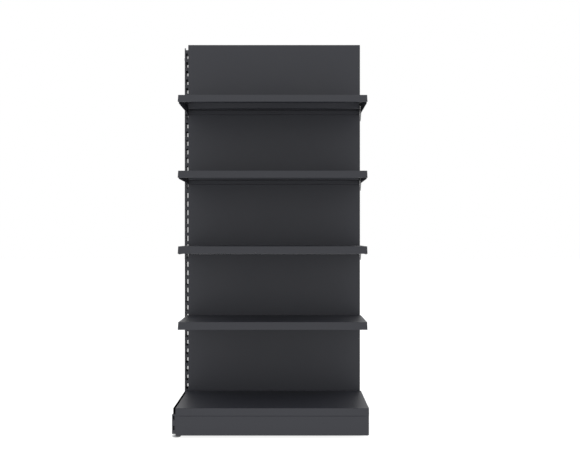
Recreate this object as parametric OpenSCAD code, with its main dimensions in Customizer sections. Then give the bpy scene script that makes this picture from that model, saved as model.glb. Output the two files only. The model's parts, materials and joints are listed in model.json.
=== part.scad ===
// Add-on bay of steel shop shelving that stands on the floor, back to the wall.
// One slotted upright with its base leg carries five back panels, a base deck with a plinth, and four
// shelves on hook-in brackets. The right-hand side hooks on to the upright of the next bay.
// Working coordinates: X from the middle of the bay, Y from the front face of the upright with the front
// of the bay at negative Y, Z from the floor. in_frame() moves them to the middle of the footprint.

/* [Bay] */
// Bay width, from the centre of one upright to the centre of the next
bay_w = 1000; // [800:1:1250]
// Slot pitch, centre to centre
slot_pitch = 50; // [45:1:60]
// Slots from one shelf to the next, and height of one back panel in slots
level_slots = 8; // [7:1:10]
// Number of shelves above the base deck; there is one more back panel
shelf_count = 4; // [4]

/* [Upright] */
// Upright width, across the bay
upright_w = 30; // [28:0.5:36]
// Upright depth, front to back
upright_d = 80; // [70:1:100]
// Wall of the upright tube
upright_t = 2; // [1.5:0.1:3]
// Outer corner radius of the upright tube
upright_r = 3; // [2.5:0.1:5]
// Slot width
slot_w = 16; // [15:0.5:18]
// Slot height
slot_h = 31; // [28:0.5:34]
// Height of the lowest slot's centre above the floor
first_slot_z = 180; // [170:1:200]
// Length by which the top back panel stands above the upright
panel_over = 16; // [0:1:30]

/* [Base leg] */
// Clear height under the base leg
leg_z = 24; // [24:0.5:35]
// Height of the base leg
leg_h = 101; // [90:1:120]
// Sheet of the base leg
leg_t = 2; // [1.5:0.1:2.5]
// Width of the leg's inward bottom flanges
leg_flange = 10; // [8:0.5:10.5]
// Height of the plinth slots in the leg's front
leg_slot_h = 24; // [18:0.5:26]
// Width of the plinth slots
leg_slot_w = 7; // [5:0.5:8]
// Distance from the upright's centre line to the plinth slots, sideways
leg_slot_x = 8; // [7:0.5:10]
// Height of the lower plinth slot above the leg's bottom
leg_slot_z = 31; // [28:1:34]
// Distance between the two plinth slots in height
leg_slot_pitch = 51; // [40:1:52]
// Step down of the leg's cheeks beside the upright
leg_step = 7; // [4:0.5:10]

/* [Deck carrier] */
// Width of the channel that takes the base decks' side flanges
carrier_w = 22; // [20:0.5:26]
// Height of that channel
carrier_h = 31; // [28:0.5:36]
// Sheet of that channel
carrier_t = 1.2; // [1:0.1:1.5]

/* [Shelves and deck] */
// Sheet of shelves, deck, plinth and back panels
sheet_t = 0.8; // [0.7:0.1:1.2]
// Inside radius of the sheet's bends
sheet_r = 0.8; // [0.6:0.1:1.6]
// Shelf depth in front of the back panels
shelf_d = 370; // [270:1:470]
// Base deck depth in front of the back panels
base_d = 470; // [370:1:570]
// Gap between a shelf's end and the middle of the upright
end_gap = 1; // [0.6:0.1:1.5]
// Height of the shelves' front lips
lip_h = 39; // [30:0.5:45]
// Distance by which a shelf's front lip leans forward
lip_lean = 20; // [10:0.5:24]
// Height of the base deck's front lip
deck_lip_h = 40; // [34:0.5:44]
// Depth of the side flanges and rear flanges
flange_h = 28; // [20:0.5:28]
// Depth of the hems along the lips and rear flanges
hem_w = 10; // [8:0.5:12]
// Height of a shelf's top above the centre of its upper slot
shelf_over_slot = 10; // [6:0.5:12]
// Gap between the shelves' rear flanges and the back panels
rear_gap = 1; // [0.5:0.1:2]

/* [Stiffeners] */
// Height of the hat-shaped stiffeners under shelves and deck
hat_h = 28; // [18:0.5:30]
// Width of their flat bottoms
hat_w = 30; // [20:0.5:36]
// Width of each of their weld flanges
hat_flange = 10; // [8:0.5:14]
// Sheet of the stiffeners
hat_t = 1; // [0.8:0.1:1.5]
// Distance from a shelf's rear edge forward to the middle of its stiffener
hat_from_rear = 92; // [60:1:180]

/* [Brackets] */
// Plate of the brackets
bracket_t = 2.5; // [2:0.1:3]
// Inside radius of the bracket's bend
bracket_r = 2; // [1.5:0.1:3]
// Depth of the blade below the shelf's top
blade_h = 43; // [38:0.5:48]
// Depth of the tail at the upright below the shelf's top
tail_h = 79; // [76:0.5:90]
// Length of the tail along the blade
tail_d = 40; // [30:1:60]
// Distance from the shelf's front edge back to the blade's nose
nose_gap = 5; // [4:0.5:10]
// Width of the seat flange that carries the shelf
seat_w = 14; // [10:0.5:18]
// Height of the hooks' necks
hook_h = 12; // [10:0.5:14]
// Depth of the hooks' tongues below their necks
hook_drop = 9; // [6:0.5:11]
// Thickness of the hooks' tongues, front to back
hook_d = 5; // [4:0.5:8]
// Height of the blade's slanting nose
nose_rise = 18; // [10:0.5:24]
// Length of the blade's slanting nose
nose_run = 12; // [6:0.5:20]

/* [Back panels] */
// Depth of the back panels, from the upright to their front face
panel_d = 15; // [12:0.5:20]
// Gap between one back panel and the next
panel_gap = 0.4; // [0.3:0.1:1]
// Distance from a panel's bottom edge up to the centre of its lower slot
panel_drop = 89; // [80:1:92]
// Slots between a panel's lower and upper hooks
panel_hook_slots = 5; // [4:1:6]
// Thickness of the panels' hook tongues, front to back
panel_hook_d = 4; // [3:0.5:6]

/* [Plinth] */
// Clear height under the plinth
plinth_z = 16; // [10:0.5:20]
// Gap between the plinth and the base deck's lip
plinth_gap = 1; // [0.5:0.1:5]
// Depth of the plinth's folded returns
plinth_return = 16; // [12:0.5:24]
// Radius of the bottom corners at the plinth's ends
plinth_r = 7; // [4:0.5:10]
// Height of the plinth's hook tabs
tab_h = 14; // [10:0.5:16]
// Depth of the tabs' tongues behind the leg's front
tab_d = 4; // [3:0.5:6]
// Drop of the tabs' tongues below their necks
tab_drop = 6; // [4:0.5:7]

/* [Cross ties] */
// Height of the cross ties' channel
tie_h = 40; // [36:0.5:50]
// Depth of the cross ties' channel
tie_d = 20; // [16:0.5:28]
// Sheet of the channel
tie_t = 1.5; // [1.2:0.1:2]
// Thickness of the end plates
tie_plate_t = 3; // [2.5:0.1:4]
// Width of the end plates, front to back
tie_plate_d = 60; // [56:1:68]
// Clear height under the lower tie
lower_tie_z = 20; // [18:0.5:24]
// Height of the lower tie's bolts above its underside
lower_bolt_rise = 25; // [24:0.5:29]
// Distance from the top of the upright down to the upper tie
upper_tie_drop = 40; // [30:1:80]

/* [Fasteners and feet] */
// Bolt diameter
bolt_d = 8; // [6:0.5:9]
// Diameter of the bolt holes in upright and leg
bolt_hole_d = 9; // [9:0.1:10]
// Diameter of the bolt holes in the cross ties' end plates
tie_hole_d = 10; // [9.6:0.1:12]
// Distance between the two bolts of a joint, front to back
bolt_spacing = 40; // [38:1:44]
// Width across the flats of bolt heads and nuts
bolt_af = 13; // [12:0.5:14]
// Height of a bolt head
bolt_head_h = 5; // [4:0.1:5]
// Height of a nut
nut_h = 6.5; // [5:0.1:8]
// Spindle diameter of the levelling feet
spindle_d = 10; // [8:0.5:11]
// Length of spindle above the underside of the leg
spindle_up = 37; // [34:1:50]
// Width across the flats of the spindle's collar
collar_af = 14; // [13:0.5:17]
// Width across the flats of the lock nuts
lock_nut_af = 17; // [16.5:0.5:19]
// Height of the lock nuts
lock_nut_h = 5; // [4:0.1:6]
// Foot pad diameter
pad_d = 44; // [40:1:50]
// Foot pad rim height
pad_rim_h = 7.5; // [5:0.5:9]
// Height of the pad's boss
pad_boss_h = 12; // [10:0.5:14]
// Distance from the deck's front edge back to the front foot
front_foot_in = 48; // [40:1:80]
// Thickness of the threaded plates above the feet
foot_plate_h = 7; // [6:0.5:9]
// Length of the threaded plate in the leg
foot_plate_d = 50; // [40:1:60]

/* [Clearances] */
// Slip between sheet parts that slide or hook together
slip = 0.2; // [0.2:0.05:0.4]
// Gap all round a spindle in its threaded plate, lock nut and pad
spindle_gap = 0.3; // [0.2:0.05:0.5]

/* [Hidden] */

// Colours as in the photograph: dark grey powder coat, zinc-plated screws, black channel
coat = [0.27, 0.28, 0.30];
zinc = [0.72, 0.73, 0.74];
black = [0.05, 0.05, 0.05];

// Straight pieces that stand for one bend
bend_steps = 6;
// Faces of a round hole
round_fn = 48;
// Overshoot of a cut beyond the face that it opens
cut = 1;
// Chamfer on hooks, bolts and pads
chamfer = 1.5;
// Room between a flange's end and the piece beside it
side_room = 2;
// Room between the seats and the stiffeners' ends
stiffener_room = 6;
// Room between the seats and the shelf's rear hem
hem_room = 4;
// Slant of the tail's foot
tail_slant = 4;
// Rise over run of the sides of a hat-shaped stiffener
hat_slope = 3;
// Lap of a tray's folded edges over its top plate
plate_lap = 40;
// Distance from the upright at which a panel's top and bottom returns end
panel_edge = 3;
// Wall of a pad's boss
pad_boss_wall = 3;
// Clear height between the boss and the spindle's collar
collar_rise = 2;

// Planes across the bay
half_bay = bay_w / 2;
upright_x = -half_bay;
leg_half_w = upright_w / 2 + leg_t;
shelf_half = half_bay - end_gap;
blade_out = shelf_half - sheet_t - slip;
panel_half = half_bay - slot_w / 2 + sheet_t + slip;
rear_flange_half = blade_out - bracket_t - side_room;
clear_of_leg = half_bay - leg_half_w - side_room;
plinth_half = shelf_half - end_gap / 2;

// Planes front to back
panel_front = -panel_d;
shelf_rear = panel_front - rear_gap;
shelf_front = panel_front - shelf_d;
base_front = panel_front - base_d;
leg_front = base_front + sheet_t + slip;
seat_rear = shelf_rear - hem_w - hem_room;
nose = shelf_front + nose_gap;
foot_y = [base_front + front_foot_in, upright_d / 2];
bolt_y = [for (side = [-1, 1]) upright_d / 2 + side * bolt_spacing / 2];

// Heights
leg_top = leg_z + leg_h;
upright_bottom = leg_z + 2 * leg_t;
carrier_top = leg_top + carrier_h;
deck_top = carrier_top + sheet_t;
panel_pitch = level_slots * slot_pitch;
panel_count = shelf_count + 1;
first_panel_z = slot_z(1) - panel_drop;
upright_top = first_panel_z + panel_count * panel_pitch - panel_over;
slot_count = ceil((upright_top - first_slot_z + slot_h / 2) / slot_pitch);
plinth_top = deck_top - deck_lip_h - plinth_gap;
leg_shoulder = leg_top - leg_step;
lower_tie_bolt_z = lower_tie_z + lower_bolt_rise;
upper_tie_z = upright_top - upper_tie_drop - tie_h;
upper_tie_bolt_z = upper_tie_z + tie_h / 2;
collar_top = leg_z - lock_nut_h - spindle_gap;
collar_bottom = pad_boss_h + collar_rise;
spindle_bottom = pad_rim_h + spindle_gap;

// Lengths that the bolts clamp
leg_grip = 2 * leg_half_w + tie_plate_t;
tie_grip = upright_w + tie_plate_t;

function slot_z(index) = first_slot_z + index * slot_pitch;
function leg_slot_centre(level) = leg_z + leg_slot_z + level * leg_slot_pitch;
function shelf_slot(level) = level * level_slots;
function shelf_top(level) = slot_z(shelf_slot(level)) + shelf_over_slot;
function panel_z(level) = first_panel_z + (level - 1) * panel_pitch;

// The footprint's middle, which is the origin
centre_x = (upright_x - pad_d / 2 + shelf_half) / 2;
centre_y = (base_front + upright_d) / 2;

module in_frame() {
    translate([-centre_x, -centre_y, 0]) children();
}

// Extrusions of a section drawn in the plane across the given axis
module along_x(x0, x1) {
    translate([x0, 0, 0]) rotate([90, 0, 90]) linear_extrude(x1 - x0) children();
}

module along_y(y0, y1) {
    translate([0, y1, 0]) rotate([90, 0, 0]) linear_extrude(y1 - y0) children();
}

module block(low, high) {
    translate(low) cube(high - low);
}

// Folded sheet: a strip t thick on the left of a path, with bends of inside radius r
function unit(v) = v / norm(v);
function left_of(d) = [-d[1], d[0]];
function turned(v, a) = [v[0] * cos(a) - v[1] * sin(a), v[0] * sin(a) + v[1] * cos(a)];
function turn_angle(a, b) = atan2(a[0] * b[1] - a[1] * b[0], a[0] * b[0] + a[1] * b[1]);

function bend_points(before, corner, after, t, r, side) =
    let (d0 = unit(corner - before),
        d1 = unit(after - corner),
        angle = turn_angle(d0, d1),
        way = sign(angle),
        path_r = way > 0 ? r + t : r,
        centre = corner - d0 * path_r * tan(abs(angle) / 2) + left_of(d0) * path_r * way)
    [for (k = [0 : bend_steps])
        centre - turned(left_of(d0), angle * k / bend_steps) * way * (path_r - way * side * t)];

function face_points(path, t, r, side) =
    let (last = len(path) - 1)
    concat([path[0] + left_of(unit(path[1] - path[0])) * side * t],
        [for (i = [1 : last - 1]) each bend_points(path[i - 1], path[i], path[i + 1], t, r, side)],
        [path[last] + left_of(unit(path[last] - path[last - 1])) * side * t]);

function reversed(list) = [for (i = [len(list) - 1 : -1 : 0]) list[i]];

module folded(path, t, r) {
    polygon(concat(face_points(path, t, r, 0), reversed(face_points(path, t, r, 1))));
}

module rounded_rect(size, r) {
    square([size[0] - 2 * r, size[1]], center = true);
    square([size[0], size[1] - 2 * r], center = true);
    for (x = [-1, 1], y = [-1, 1])
        translate([x * (size[0] / 2 - r), y * (size[1] / 2 - r)]) circle(r, $fn = round_fn);
}

module hex_prism(across_flats, h) {
    cylinder(h = h, r = across_flats / 2 / cos(30), $fn = 6);
}

module bore_z(d, z0, z1) {
    translate([0, 0, z0]) cylinder(h = z1 - z0, d = d, $fn = round_fn);
}

module bore_x(d, x0, x1) {
    translate([x0, 0, 0]) rotate([0, 90, 0]) cylinder(h = x1 - x0, d = d, $fn = round_fn);
}

// Upright: a tube pierced front and back by one column of slots, its top cut through a slot
module upright_section() {
    difference() {
        rounded_rect([upright_w, upright_d], upright_r);
        rounded_rect([upright_w - 2 * upright_t, upright_d - 2 * upright_t], upright_r - upright_t);
    }
}

module slot_column() {
    for (i = [0 : slot_count - 1])
        translate([upright_x - slot_w / 2, slot_z(i) - slot_h / 2]) square([slot_w, slot_h]);
}

module joint_holes(d, x0, x1, z) {
    for (y = bolt_y)
        translate([0, y, z]) bore_x(d, x0, x1);
}

module upright() {
    x0 = upright_x - leg_half_w - cut;
    x1 = upright_x + leg_half_w + cut;
    color(coat) in_frame() difference() {
        translate([upright_x, upright_d / 2, upright_bottom])
            linear_extrude(upright_top - upright_bottom) upright_section();
        along_y(-cut, upright_d + cut) slot_column();
        joint_holes(bolt_hole_d, x0, x1, lower_tie_bolt_z);
        joint_holes(bolt_hole_d, x0, x1, upper_tie_bolt_z);
    }
}

// Threaded plate welded in the foot of the upright
module upright_foot_plate() {
    inner = [upright_w - 2 * upright_t, upright_d - 2 * upright_t];
    color(coat) in_frame() translate([upright_x, foot_y[1], 0]) difference() {
        translate([0, 0, upright_bottom]) linear_extrude(foot_plate_h)
            rounded_rect(inner, upright_r - upright_t);
        bore_z(spindle_d + 2 * spindle_gap, upright_bottom - cut, upright_bottom + foot_plate_h + cut);
    }
}

// Base leg: a downward channel whose cheeks clasp the upright, closed by a slotted front
function leg_path() = [[leg_half_w - leg_flange, leg_z], [leg_half_w, leg_z], [leg_half_w, leg_top],
    [-leg_half_w, leg_top], [-leg_half_w, leg_z], [leg_flange - leg_half_w, leg_z]];

module leg_front_slots() {
    for (x = [-leg_slot_x, leg_slot_x], level = [0, 1])
        translate([x, leg_slot_centre(level)]) {
            square([leg_slot_w, leg_slot_h - leg_slot_w], center = true);
            for (end = [-1, 1])
                translate([0, end * (leg_slot_h - leg_slot_w) / 2]) circle(d = leg_slot_w, $fn = round_fn);
        }
}

module base_leg() {
    color(coat) in_frame() translate([upright_x, 0, 0]) difference() {
        union() {
            along_y(leg_front + leg_t, upright_d) folded(leg_path(), leg_t, leg_t);
            along_y(leg_front, leg_front + leg_t) difference() {
                translate([-leg_half_w, leg_z]) square([2 * leg_half_w, leg_h]);
                leg_front_slots();
            }
        }
        block([-leg_half_w - cut, -slip, leg_shoulder],
            [leg_half_w + cut, upright_d + cut, leg_top + cut]);
        joint_holes(bolt_hole_d, -leg_half_w - cut, leg_half_w + cut, lower_tie_bolt_z);
    }
}

// Threaded plate welded on the leg's bottom flanges above the front foot, between their bends
module leg_foot_plate() {
    half = [upright_w / 2 - leg_t - slip, foot_plate_d / 2];
    z0 = leg_z + leg_t;
    color(coat) in_frame() translate([upright_x, foot_y[0], 0]) difference() {
        block([-half[0], -half[1], z0], [half[0], half[1], z0 + foot_plate_h]);
        bore_z(spindle_d + 2 * spindle_gap, z0 - cut, z0 + foot_plate_h + cut);
    }
}

// Channel on top of the leg: the side flange of a base deck stands in each half of it
module deck_carrier() {
    half = carrier_w / 2;
    path = [[-half, carrier_top], [-half, leg_top], [half, leg_top], [half, carrier_top]];
    color(black) in_frame() translate([upright_x, 0, 0])
        along_y(base_front + sheet_t + sheet_r, panel_front - slip) folded(path, carrier_t, carrier_t);
}

// Bolts, nuts and cross ties
module bolt(x_head, grip) {
    translate([x_head - bolt_head_h, 0, 0]) rotate([0, 90, 0]) hex_prism(bolt_af, bolt_head_h);
    bore_x(bolt_d, x_head - cut, x_head + grip + nut_h + chamfer);
}

module nut(x0) {
    difference() {
        translate([x0, 0, 0]) rotate([0, 90, 0]) hex_prism(bolt_af, nut_h);
        bore_x(bolt_d + slip, x0 - cut, x0 + nut_h + cut);
    }
}

module leg_bolts() {
    color(zinc) in_frame() for (y = bolt_y)
        translate([0, y, lower_tie_bolt_z]) bolt(upright_x - leg_half_w, leg_grip);
}

module leg_nuts() {
    color(zinc) in_frame() for (y = bolt_y)
        translate([0, y, lower_tie_bolt_z]) nut(upright_x - leg_half_w + leg_grip);
}

module tie_bolts() {
    color(zinc) in_frame() for (y = bolt_y)
        translate([0, y, upper_tie_bolt_z]) bolt(upright_x - upright_w / 2, tie_grip);
}

module tie_nuts() {
    color(zinc) in_frame() for (y = bolt_y)
        translate([0, y, upper_tie_bolt_z]) nut(upright_x - upright_w / 2 + tie_grip);
}

// Tie between two uprights: a channel welded to a bolted plate at each end
module cross_tie(z0, bolt_z, half_length) {
    y0 = (upright_d - tie_d) / 2;
    y1 = y0 + tie_d;
    path = [[y1, z0 + tie_h], [y0, z0 + tie_h], [y0, z0], [y1, z0]];
    plate_y = [(upright_d - tie_plate_d) / 2, (upright_d + tie_plate_d) / 2];
    plate_x = half_length - tie_plate_t;
    color(coat) in_frame() {
        along_x(-plate_x, plate_x) folded(path, tie_t, tie_t);
        for (side = [0, 1]) mirror([side, 0, 0]) difference() {
            block([plate_x, plate_y[0], z0], [half_length, plate_y[1], z0 + tie_h]);
            joint_holes(tie_hole_d, plate_x - cut, half_length + cut, bolt_z);
        }
    }
}

module lower_cross_tie() {
    cross_tie(lower_tie_z, lower_tie_bolt_z, half_bay - leg_half_w);
}

module upper_cross_tie() {
    cross_tie(upper_tie_z, upper_tie_bolt_z, half_bay - upright_w / 2);
}

// Levelling feet: a spindle with a hexagonal collar stands in the boss of a round pad
module foot_spindle(y) {
    top = leg_z + spindle_up;
    color(zinc) in_frame() translate([upright_x, y, 0]) {
        translate([0, 0, collar_bottom]) hex_prism(collar_af, collar_top - collar_bottom);
        bore_z(spindle_d, spindle_bottom, top - chamfer);
        translate([0, 0, top - chamfer])
            cylinder(h = chamfer, d1 = spindle_d, d2 = spindle_d - 2 * chamfer, $fn = round_fn);
    }
}

module foot_pad(y) {
    boss_r = spindle_d / 2 + spindle_gap + pad_boss_wall;
    socket_r = spindle_d / 2 + spindle_gap;
    color(zinc) in_frame() translate([upright_x, y, 0]) rotate_extrude($fn = round_fn)
        polygon([[0, 0], [pad_d / 2 - chamfer / 2, 0], [pad_d / 2, chamfer / 2],
            [pad_d / 2, pad_rim_h - chamfer], [pad_d / 2 - chamfer, pad_rim_h],
            [boss_r + chamfer, pad_rim_h], [boss_r, pad_rim_h + chamfer], [boss_r, pad_boss_h],
            [socket_r, pad_boss_h], [socket_r, pad_rim_h], [0, pad_rim_h]]);
}

module lock_nut(y) {
    color(zinc) in_frame() translate([upright_x, y, leg_z - lock_nut_h]) difference() {
        hex_prism(lock_nut_af, lock_nut_h);
        bore_z(spindle_d + 2 * spindle_gap, -cut, lock_nut_h + cut);
    }
}

// Sheet trays, drawn with their top at Z 0: lip, rear flange and side flanges are folded from the top plate
module side_flanges(front, rear) {
    path = [[shelf_half, -flange_h], [shelf_half, 0], [-shelf_half, 0], [-shelf_half, -flange_h]];
    along_y(front, rear) folded(path, sheet_t, sheet_r);
}

module rear_flange(half) {
    path = [[shelf_rear - hem_w, -flange_h], [shelf_rear, -flange_h], [shelf_rear, 0],
        [shelf_rear - plate_lap, 0]];
    along_x(-half, half) folded(path, sheet_t, sheet_r);
}

// Shelf: its lip leans forward and ends in a hem
module shelf(level) {
    lip_foot = [shelf_front - lip_lean, -lip_h];
    lip_path = [[shelf_front + plate_lap, 0], [shelf_front, 0], lip_foot,
        lip_foot + [hem_w, 0], lip_foot + [hem_w, hem_w]];
    color(coat) in_frame() translate([0, 0, shelf_top(level)]) {
        along_x(-shelf_half, shelf_half) folded(lip_path, sheet_t, sheet_r);
        side_flanges(shelf_front + sheet_t + sheet_r, shelf_rear - sheet_t - sheet_r);
        rear_flange(rear_flange_half);
    }
}

// Base deck: its lip is upright, and the hem stops short of the base legs
module base_deck() {
    bend = sheet_t + sheet_r;
    lip_path = [[base_front + plate_lap, 0], [base_front, 0], [base_front, -deck_lip_h]];
    hem_path = [[base_front, hem_w - deck_lip_h], [base_front, -deck_lip_h],
        [base_front + hem_w, -deck_lip_h], [base_front + hem_w, hem_w / 2 - deck_lip_h]];
    color(coat) in_frame() translate([0, 0, deck_top]) {
        along_x(-shelf_half, shelf_half) difference() {
            folded(lip_path, sheet_t, sheet_r);
            translate([base_front - cut, -deck_lip_h - cut]) square([bend, bend + cut]);
        }
        along_x(-clear_of_leg, clear_of_leg) folded(hem_path, sheet_t, sheet_r);
        side_flanges(base_front + bend, shelf_rear - bend);
        rear_flange(half_bay - carrier_w / 2 - side_room);
    }
}

// Hat-shaped stiffener welded under a plate whose top is at the given height
module stiffener(top, y, half_length) {
    under = -sheet_t;
    foot = hat_w / 2 + (hat_h - hat_t) / hat_slope;
    tip = foot + hat_flange;
    path = [[y - tip, under - hat_t], [y - foot, under - hat_t], [y - hat_w / 2, under - hat_h],
        [y + hat_w / 2, under - hat_h], [y + foot, under - hat_t], [y + tip, under - hat_t]];
    color(coat) in_frame() translate([0, 0, top])
        along_x(-half_length, half_length) folded(path, hat_t, hat_t);
}

module shelf_stiffener(level) {
    stiffener(shelf_top(level), shelf_rear - hat_from_rear, blade_out - seat_w - stiffener_room);
}

module base_deck_stiffener(part_of_depth) {
    stiffener(deck_top, shelf_rear - base_d * part_of_depth, clear_of_leg - stiffener_room);
}

// Shelf bracket, drawn below Z 0: a plate blade with hooks at the upright and a folded seat under the shelf
function hook_points(slot_centre, reach) =
    let (foot = slot_centre - slot_h / 2,
        inside = upright_t + slip,
        back = inside + reach)
    [[-cut, foot], [inside, foot], [inside, foot - hook_drop], [back - chamfer, foot - hook_drop],
        [back, foot - hook_drop + 2 * chamfer], [back, foot + hook_h - chamfer],
        [back - chamfer, foot + hook_h], [-cut, foot + hook_h]];

module blade() {
    rear_top = -sheet_t - sheet_r;
    below_bend = -sheet_t - bracket_t - bracket_r;
    polygon([[0, rear_top], [seat_rear, rear_top], [seat_rear, below_bend], [nose, below_bend],
        [nose, nose_rise - blade_h], [nose + nose_run, -blade_h], [-tail_d, -blade_h],
        [-tail_slant, -tail_h], [0, -tail_h]]);
    for (step = [0, 1])
        polygon(hook_points(-shelf_over_slot - step * slot_pitch, hook_d));
}

module bracket(level, side) {
    under = -sheet_t;
    root = under - 3 * (bracket_t + bracket_r);
    seat_path = [[blade_out, root], [blade_out, under], [blade_out - seat_w, under]];
    color(coat) in_frame() translate([0, 0, shelf_top(level)]) mirror([side < 0 ? 1 : 0, 0, 0]) {
        along_x(blade_out - bracket_t, blade_out) blade();
        along_y(nose, seat_rear) folded(seat_path, bracket_t, bracket_r);
    }
}

// Back panel: a shallow tray, hooked into the upright's slots by tongues on its side returns
module panel_hooks() {
    for (step = [0, panel_hook_slots])
        polygon(hook_points(panel_drop + step * slot_pitch, panel_hook_d));
}

module back_panel(level) {
    height = panel_pitch - panel_gap;
    bend = sheet_t + sheet_r;
    side_path = [[panel_half, 0], [panel_half, panel_front], [-panel_half, panel_front], [-panel_half, 0]];
    edge_path = [[-panel_edge, 0], [panel_front, 0], [panel_front, height], [-panel_edge, height]];
    color(coat) in_frame() translate([0, 0, panel_z(level)]) {
        translate([0, 0, bend]) linear_extrude(height - 2 * bend)
            folded(reversed(side_path), sheet_t, sheet_r);
        along_x(-panel_half + bend, panel_half - bend) folded(reversed(edge_path), sheet_t, sheet_r);
        for (side = [0, 1]) mirror([side, 0, 0])
            along_x(panel_half - sheet_t, panel_half) panel_hooks();
    }
}

// Plinth: a folded front below the deck's lip, with flat ends that lap over the base legs
module plinth_end() {
    height = plinth_top - plinth_z;
    translate([0, (plinth_top + plinth_z) / 2])
        rounded_rect([2 * plinth_half, height], plinth_r);
    translate([-plinth_half, plinth_z + height / 2]) square([2 * plinth_half, height / 2]);
}

module plinth_tab(level) {
    top = leg_slot_centre(level) - leg_slot_h / 2 + tab_h;
    neck = top - tab_h + tab_drop / 2;
    root = base_front + sheet_t / 2;
    inside = leg_front + leg_t + slip;
    polygon([[root, neck], [inside, neck], [inside, neck - tab_drop], [inside + tab_d, neck - tab_drop / 2],
        [inside + tab_d, top], [root, top]]);
}

module plinth() {
    path = [[base_front + plinth_return, plinth_top], [base_front, plinth_top], [base_front, plinth_z],
        [base_front + plinth_return, plinth_z]];
    tab_x = half_bay - leg_slot_x;
    color(coat) in_frame() {
        along_x(-clear_of_leg, clear_of_leg) folded(path, sheet_t, sheet_r);
        for (side = [0, 1]) mirror([side, 0, 0]) {
            along_y(base_front, base_front + sheet_t) intersection() {
                plinth_end();
                translate([clear_of_leg - cut, plinth_z]) square([half_bay, plinth_top - plinth_z]);
            }
            for (tab = [0, 1])
                along_x(tab_x - sheet_t / 2, tab_x + sheet_t / 2) plinth_tab(tab);
        }
    }
}

upright();
upright_foot_plate();
base_leg();
leg_foot_plate();
leg_bolts();
leg_nuts();
deck_carrier();
lock_nut(foot_y[0]);  // front_lock_nut
foot_spindle(foot_y[0]);  // front_foot_spindle
foot_pad(foot_y[0]);  // front_foot_pad
lock_nut(foot_y[1]);  // rear_lock_nut
foot_spindle(foot_y[1]);  // rear_foot_spindle
foot_pad(foot_y[1]);  // rear_foot_pad
lower_cross_tie();
upper_cross_tie();
tie_bolts();
tie_nuts();
plinth();
base_deck();
base_deck_stiffener(2 / 3);  // base_deck_front_stiffener
base_deck_stiffener(1 / 3);  // base_deck_rear_stiffener
back_panel(1);  // back_panel_1
back_panel(2);  // back_panel_2
back_panel(3);  // back_panel_3
back_panel(4);  // back_panel_4
back_panel(5);  // back_panel_5
shelf(1);  // shelf_1
shelf_stiffener(1);  // shelf_1_stiffener
bracket(1, -1);  // bracket_1_left
bracket(1, 1);  // bracket_1_right
shelf(2);  // shelf_2
shelf_stiffener(2);  // shelf_2_stiffener
bracket(2, -1);  // bracket_2_left
bracket(2, 1);  // bracket_2_right
shelf(3);  // shelf_3
shelf_stiffener(3);  // shelf_3_stiffener
bracket(3, -1);  // bracket_3_left
bracket(3, 1);  // bracket_3_right
shelf(4);  // shelf_4
shelf_stiffener(4);  // shelf_4_stiffener
bracket(4, -1);  // bracket_4_left
bracket(4, 1);  // bracket_4_right
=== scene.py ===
"""Looks of a steel shop-shelving bay: powder-coated sheet, zinc-plated screws, plain white studio."""
import json
import math

import bmesh
import bpy
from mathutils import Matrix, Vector


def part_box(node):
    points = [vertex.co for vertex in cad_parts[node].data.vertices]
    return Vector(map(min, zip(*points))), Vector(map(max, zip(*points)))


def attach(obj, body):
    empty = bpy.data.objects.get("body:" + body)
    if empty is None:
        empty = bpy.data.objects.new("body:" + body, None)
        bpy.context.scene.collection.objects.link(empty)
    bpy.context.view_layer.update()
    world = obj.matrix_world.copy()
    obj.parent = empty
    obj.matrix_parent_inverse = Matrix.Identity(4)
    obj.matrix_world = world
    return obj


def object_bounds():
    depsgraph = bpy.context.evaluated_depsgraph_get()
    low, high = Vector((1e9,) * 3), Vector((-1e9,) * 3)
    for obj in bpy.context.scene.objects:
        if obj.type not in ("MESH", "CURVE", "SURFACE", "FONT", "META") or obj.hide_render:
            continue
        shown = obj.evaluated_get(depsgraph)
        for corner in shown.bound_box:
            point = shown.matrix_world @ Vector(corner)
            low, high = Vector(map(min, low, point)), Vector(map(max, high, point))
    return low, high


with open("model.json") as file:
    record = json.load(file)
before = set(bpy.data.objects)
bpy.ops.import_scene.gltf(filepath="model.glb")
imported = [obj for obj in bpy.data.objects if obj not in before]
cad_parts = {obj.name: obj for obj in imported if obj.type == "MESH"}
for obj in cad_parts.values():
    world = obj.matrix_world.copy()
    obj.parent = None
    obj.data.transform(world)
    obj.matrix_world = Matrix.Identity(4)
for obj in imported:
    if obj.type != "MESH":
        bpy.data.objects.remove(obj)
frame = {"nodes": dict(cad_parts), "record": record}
cad_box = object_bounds()

MM = 0.001
WHITE = (1.0, 1.0, 1.0, 1.0)

# The camera stands level in front of the bay, a little to the right of its middle
CAMERA_PLACE = (0.1029, -4.4355, 1.050)
CAMERA_PITCH = math.radians(90.0)
CAMERA_REACH = 100.0
LENS_MM = 50.0
SENSOR_MM = 36.0

# A wide lamp high in front; its power is in watts
KEY_POWER = 8.0
KEY_WIDTH = 3.0
KEY_DEPTH = 2.0
KEY_PLACE = (-0.6, -4.2, 3.4)
KEY_AIM = (0.0, 0.0, 1.0)

# Colours are linear. The photograph shows the coat as about (70, 71, 75) where it faces the light:
# a third of that is the coat's own colour, the rest is the white room in its gloss
COAT_COLOUR = (0.0201, 0.0215, 0.0287, 1.0)
BLACK_COLOUR = (0.004, 0.004, 0.0045, 1.0)
ZINC_COLOUR = (0.60, 0.61, 0.62, 1.0)
FLOOR_COLOUR = (0.30, 0.30, 0.30, 1.0)

# Depths of the coat's orange peel and of the zinc's brush lines
PEEL_DEPTH = 0.1 * MM
BRUSH_DEPTH = 0.03 * MM

# Half the floor's side, and how bright the floor glows where it lights the object and where it is seen
FLOOR_HALF = 30.0
GLOW_LIGHTING = 0.85
GLOW_SEEN = 0.88

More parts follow.
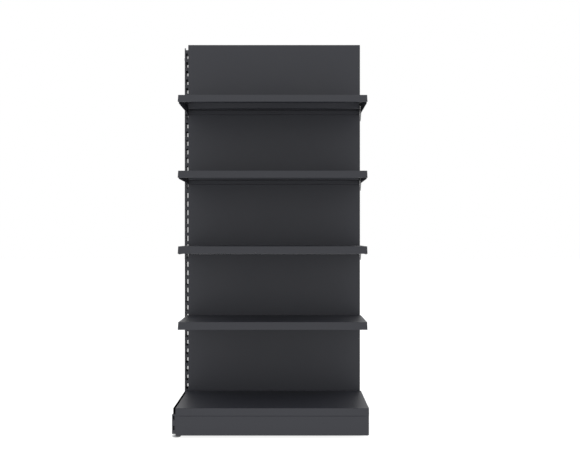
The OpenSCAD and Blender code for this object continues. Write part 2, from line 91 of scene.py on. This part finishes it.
# The shade painted on the floor below the object takes away this share of the glow, and fades out over
# the edge's width.
# It starts outside the footprint for the light on the object, and within it for the camera
SHADE_SHARE = 0.96
SHADE_EDGE = 0.04
SHADE_INSET_LIGHTING = (-0.03, -0.03)
SHADE_INSET_SEEN = (0.0, 0.045)

# The flap at the seam between the deck's lip and the plinth: it ends just inside the plinth's right end,
# stands behind the plinth's 0.8 mm sheet and laps over both sides of the seam
FLAP_LENGTH = 16.2 * MM
FLAP_END_GAP = 1 * MM
FLAP_THICK = 1 * MM
FLAP_BEHIND = 0.9 * MM
FLAP_LAP = 4 * MM
FLAP_CORNER = 2 * MM


def add_object(name, data):
    obj = bpy.data.objects.new(name, data)
    bpy.context.scene.collection.objects.link(obj)
    return obj


def camera():
    """A level camera at the photograph's viewing point."""
    data = bpy.data.cameras.new("camera")
    data.lens = LENS_MM
    data.sensor_width = SENSOR_MM
    data.clip_end = CAMERA_REACH
    obj = add_object("camera", data)
    obj.location = CAMERA_PLACE
    obj.rotation_euler = (CAMERA_PITCH, 0.0, 0.0)
    bpy.context.scene.camera = obj


class Nodes:
    """A short way to write a node tree. A value is a number, a tuple or another node's output."""

    def __init__(self, tree):
        self.tree = tree
        tree.nodes.clear()

    def add(self, kind, values=None, **settings):
        node = self.tree.nodes.new(kind)
        for name, value in settings.items():
            setattr(node, name, value)
        for socket, value in (values or {}).items():
            self.put(node.inputs[socket], value)
        return node

    def put(self, socket, value):
        if isinstance(value, bpy.types.NodeSocket):
            self.tree.links.new(value, socket)
        else:
            socket.default_value = value

    def math(self, operation, a, b=0.0):
        node = self.add("ShaderNodeMath", operation=operation)
        self.put(node.inputs[0], a)
        self.put(node.inputs[1], b)
        return node.outputs[0]

    def noise(self, scale, detail, stretch=None):
        place = self.add("ShaderNodeTexCoord").outputs["Object"]
        if stretch:
            place = self.add("ShaderNodeMapping", {"Vector": place, "Scale": stretch}).outputs["Vector"]
        values = {"Vector": place, "Scale": scale, "Detail": detail}
        return self.add("ShaderNodeTexNoise", values).outputs["Fac"]

    def spread(self, noise, low, high):
        """Stretches a noise, which stays mostly within 0.25 to 0.75, from low to high."""
        values = {"Value": noise, "From Min": 0.25, "From Max": 0.75, "To Min": low, "To Max": high}
        return self.add("ShaderNodeMapRange", values).outputs["Result"]

    def scaled_colour(self, colour, factor):
        """A colour times a slowly varying factor."""
        node = self.add("ShaderNodeMix", {"Factor": 1.0}, data_type="RGBA", blend_type="MULTIPLY")
        grey = self.add("ShaderNodeCombineColor", {"Red": factor, "Green": factor, "Blue": factor})
        self.put(node.inputs["A"], colour)
        self.put(node.inputs["B"], grey.outputs["Color"])
        return node.outputs["Result"]

    def finish(self, shader):
        self.add("ShaderNodeOutputMaterial", {"Surface": shader})

    def finish_surface(self, colour, roughness, relief, strength, depth, metallic=0.0):
        """Ends a material in one shader with the relief as its bump."""
        bump = self.add("ShaderNodeBump", {"Height": relief, "Strength": strength, "Distance": depth})
        values = {"Base Color": colour, "Metallic": metallic, "Roughness": roughness,
                  "Normal": bump.outputs["Normal"]}
        self.finish(self.add("ShaderNodeBsdfPrincipled", values).outputs["BSDF"])


def new_material(name):
    material = bpy.data.materials.new(name)
    material.use_nodes = True
    return material, Nodes(material.node_tree)


def powder_coat(name, colour, roughness, peel):
    """Semi-gloss powder coat: fine orange peel, with slow changes of shade and gloss."""
    material, nodes = new_material(name)
    cloud = nodes.noise(scale=5.0, detail=3.0)
    grain = nodes.noise(scale=900.0, detail=2.0)
    relief = nodes.noise(scale=420.0, detail=3.0)
    cloud_shade = nodes.spread(cloud, low=0.96, high=1.04)
    grain_shade = nodes.spread(grain, low=0.94, high=1.06)
    shade = nodes.math("MULTIPLY", cloud_shade, grain_shade)
    rough = nodes.math("ADD", nodes.spread(cloud, low=-0.025, high=0.025), roughness)
    rough = nodes.math("ADD", nodes.spread(grain, low=-0.03, high=0.03), rough)
    coat = nodes.scaled_colour(colour, shade)
    nodes.finish_surface(coat, rough, relief, strength=peel, depth=PEEL_DEPTH)
    return material


def zinc_plate():
    """Bright zinc plating with faint brush lines and cloudy gloss."""
    material, nodes = new_material("zinc_plate")
    cloud = nodes.noise(scale=120.0, detail=3.0)
    lines = nodes.noise(scale=500.0, detail=2.0, stretch=(1.0, 1.0, 8.0))
    colour = nodes.scaled_colour(ZINC_COLOUR, nodes.spread(cloud, low=0.9, high=1.08))
    cloud_rough = nodes.spread(cloud, low=0.28, high=0.42)
    rough = nodes.math("ADD", cloud_rough, nodes.spread(lines, low=-0.04, high=0.04))
    nodes.finish_surface(colour, rough, lines, strength=0.3, depth=BRUSH_DEPTH, metallic=1.0)
    return material


def seen_directly(nodes):
    """1 for the rays of the camera, of mirrors and of glass, 0 for the rays that light surfaces."""
    rays = nodes.add("ShaderNodeLightPath").outputs
    either = nodes.math("MAXIMUM", rays["Is Camera Ray"], rays["Is Glossy Ray"])
    return nodes.math("MAXIMUM", either, rays["Is Transmission Ray"])


def white_room():
    """A white sky that also lights the object evenly."""
    world = bpy.data.worlds.new("studio")
    world.use_nodes = True
    bpy.context.scene.world = world
    nodes = Nodes(world.node_tree)
    sky = nodes.add("ShaderNodeBackground", {"Color": WHITE, "Strength": 1.0})
    nodes.add("ShaderNodeOutputWorld", {"Surface": sky.outputs["Background"]})


def painted_shade_under_object(nodes, inset):
    """The painted shade's mask: 1 on the floor below the object, 0 outside its footprint less the inset,
    with soft edges.
    """
    spot = nodes.add("ShaderNodeTexCoord").outputs["Object"]
    place = nodes.add("ShaderNodeSeparateXYZ", {"Vector": spot})
    sides = []
    for axis, half_size, axis_inset in zip("XY", cad_box[1], inset):
        away = nodes.math("ABSOLUTE", place.outputs[axis])
        edge = half_size - axis_inset
        values = {"Value": away, "From Min": edge, "From Max": edge - SHADE_EDGE}
        side = nodes.add("ShaderNodeMapRange", values, interpolation_type="SMOOTHSTEP")
        sides.append(side.outputs["Result"])
    return nodes.math("MULTIPLY", *sides)


def floor_material():
    """Matt and pale, with a glow that makes it look white and that a shade painted below the object
    takes away.
    """
    material, nodes = new_material("floor")
    grain = nodes.noise(scale=40.0, detail=3.0)
    colour = nodes.scaled_colour(FLOOR_COLOUR, nodes.spread(grain, low=0.99, high=1.0))
    matt = nodes.add("ShaderNodeBsdfDiffuse", {"Color": colour})

    values = {"Value": seen_directly(nodes), "To Min": GLOW_LIGHTING, "To Max": GLOW_SEEN}
    open_glow = nodes.add("ShaderNodeMapRange", values).outputs["Result"]
    from_camera = nodes.add("ShaderNodeLightPath").outputs["Is Camera Ray"]
    # Painted shade: the floor's glow is dimmed below the object, for the light on the object and for the
    # camera
    values = {"Factor": from_camera, "A": painted_shade_under_object(nodes, SHADE_INSET_LIGHTING),
              "B": painted_shade_under_object(nodes, SHADE_INSET_SEEN)}
    shade = nodes.add("ShaderNodeMix", values).outputs["Result"]
    lit_share = nodes.math("SUBTRACT", 1.0, nodes.math("MULTIPLY", shade, SHADE_SHARE))
    strength = nodes.math("MULTIPLY", open_glow, lit_share)
    glow = nodes.add("ShaderNodeEmission", {"Color": WHITE, "Strength": strength})

    both = nodes.add("ShaderNodeAddShader")
    nodes.put(both.inputs[0], matt.outputs["BSDF"])
    nodes.put(both.inputs[1], glow.outputs["Emission"])
    nodes.finish(both.outputs["Shader"])
    return material


def floor():
    """A plain floor that keeps the object's shadow, and has a shade painted into its glow below the
    object.
    """
    mesh = bpy.data.meshes.new("floor")
    corners = [(x * FLOOR_HALF, y * FLOOR_HALF, 0.0) for x, y in ((-1, -1), (1, -1), (1, 1), (-1, 1))]
    mesh.from_pydata(corners, [], [(0, 1, 2, 3)])
    mesh.materials.append(floor_material())
    obj = add_object("floor", mesh)


def key_light():
    """A soft lamp that gives the lips and shelves their shape."""
    data = bpy.data.lights.new("key", "AREA")
    data.shape = "RECTANGLE"
    data.size = KEY_WIDTH
    data.size_y = KEY_DEPTH
    data.energy = KEY_POWER
    obj = add_object("key", data)
    obj.location = KEY_PLACE
    obj.rotation_euler = (Vector(KEY_AIM) - obj.location).to_track_quat("-Z", "Y").to_euler()


def seam_flap(finish):
    """A flap behind the right end of the deck's seam, so that no light shows through there."""
    plinth_low, plinth_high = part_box("plinth")
    lip_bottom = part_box("base_deck")[0].z
    right = plinth_high.x - FLAP_END_GAP
    front = plinth_low.y + FLAP_BEHIND
    low = Vector((right - FLAP_LENGTH, front, plinth_high.z - FLAP_LAP))
    high = Vector((right, front + FLAP_THICK, lip_bottom + FLAP_LAP))
    form = bmesh.new()
    bmesh.ops.create_cube(form, size=1.0)
    bmesh.ops.scale(form, vec=high - low, verts=form.verts)
    bmesh.ops.translate(form, vec=(low + high) / 2, verts=form.verts)
    corners = [edge for edge in form.edges if edge.calc_length() < 2 * FLAP_THICK]
    bmesh.ops.bevel(form, geom=corners, offset=FLAP_CORNER, segments=4, profile=0.5, affect="EDGES")
    mesh = bpy.data.meshes.new("seam_flap")
    form.to_mesh(mesh)
    form.free()
    mesh.materials.append(finish)
    obj = add_object("seam_flap", mesh)
    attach(obj, "frame")


def dress_nodes():
    """Gives every CAD node the material of its slot in the record, and returns these materials.

    The grey coat differs a little from piece to piece, as the photograph's highlights do: smoother on
    the trays and the plinth, rougher on the panels, and roughest on the stiffeners under the trays.
    """
    finishes = {
        "grey_coat": powder_coat("grey_coat", COAT_COLOUR, roughness=0.53, peel=0.5),
        "black_coat": powder_coat("black_coat", BLACK_COLOUR, roughness=0.6, peel=0.3),
        "zinc_plate": zinc_plate(),
    }
    thin_coat = powder_coat("thin_grey_coat", COAT_COLOUR, roughness=0.72, peel=0.6)
    tray_coat = powder_coat("tray_grey_coat", COAT_COLOUR, roughness=0.48, peel=0.5)
    panel_coat = powder_coat("panel_grey_coat", COAT_COLOUR, roughness=0.56, peel=0.5)
    for entry in frame["record"]["subparts"]:
        name = entry["node"]
        finish = finishes[entry["material_slot"]]
        if name.endswith("stiffener"):
            finish = thin_coat
        elif name.startswith(("base_deck", "shelf_", "plinth")):
            finish = tray_coat
        elif name.startswith("back_panel"):
            finish = panel_coat
        materials = frame["nodes"][name].data.materials
        materials.clear()
        materials.append(finish)
    return finishes


bpy.context.scene.view_settings.view_transform = "Standard"
camera()
white_room()
floor()
key_light()
finishes = dress_nodes()
seam_flap(finishes["grey_coat"])
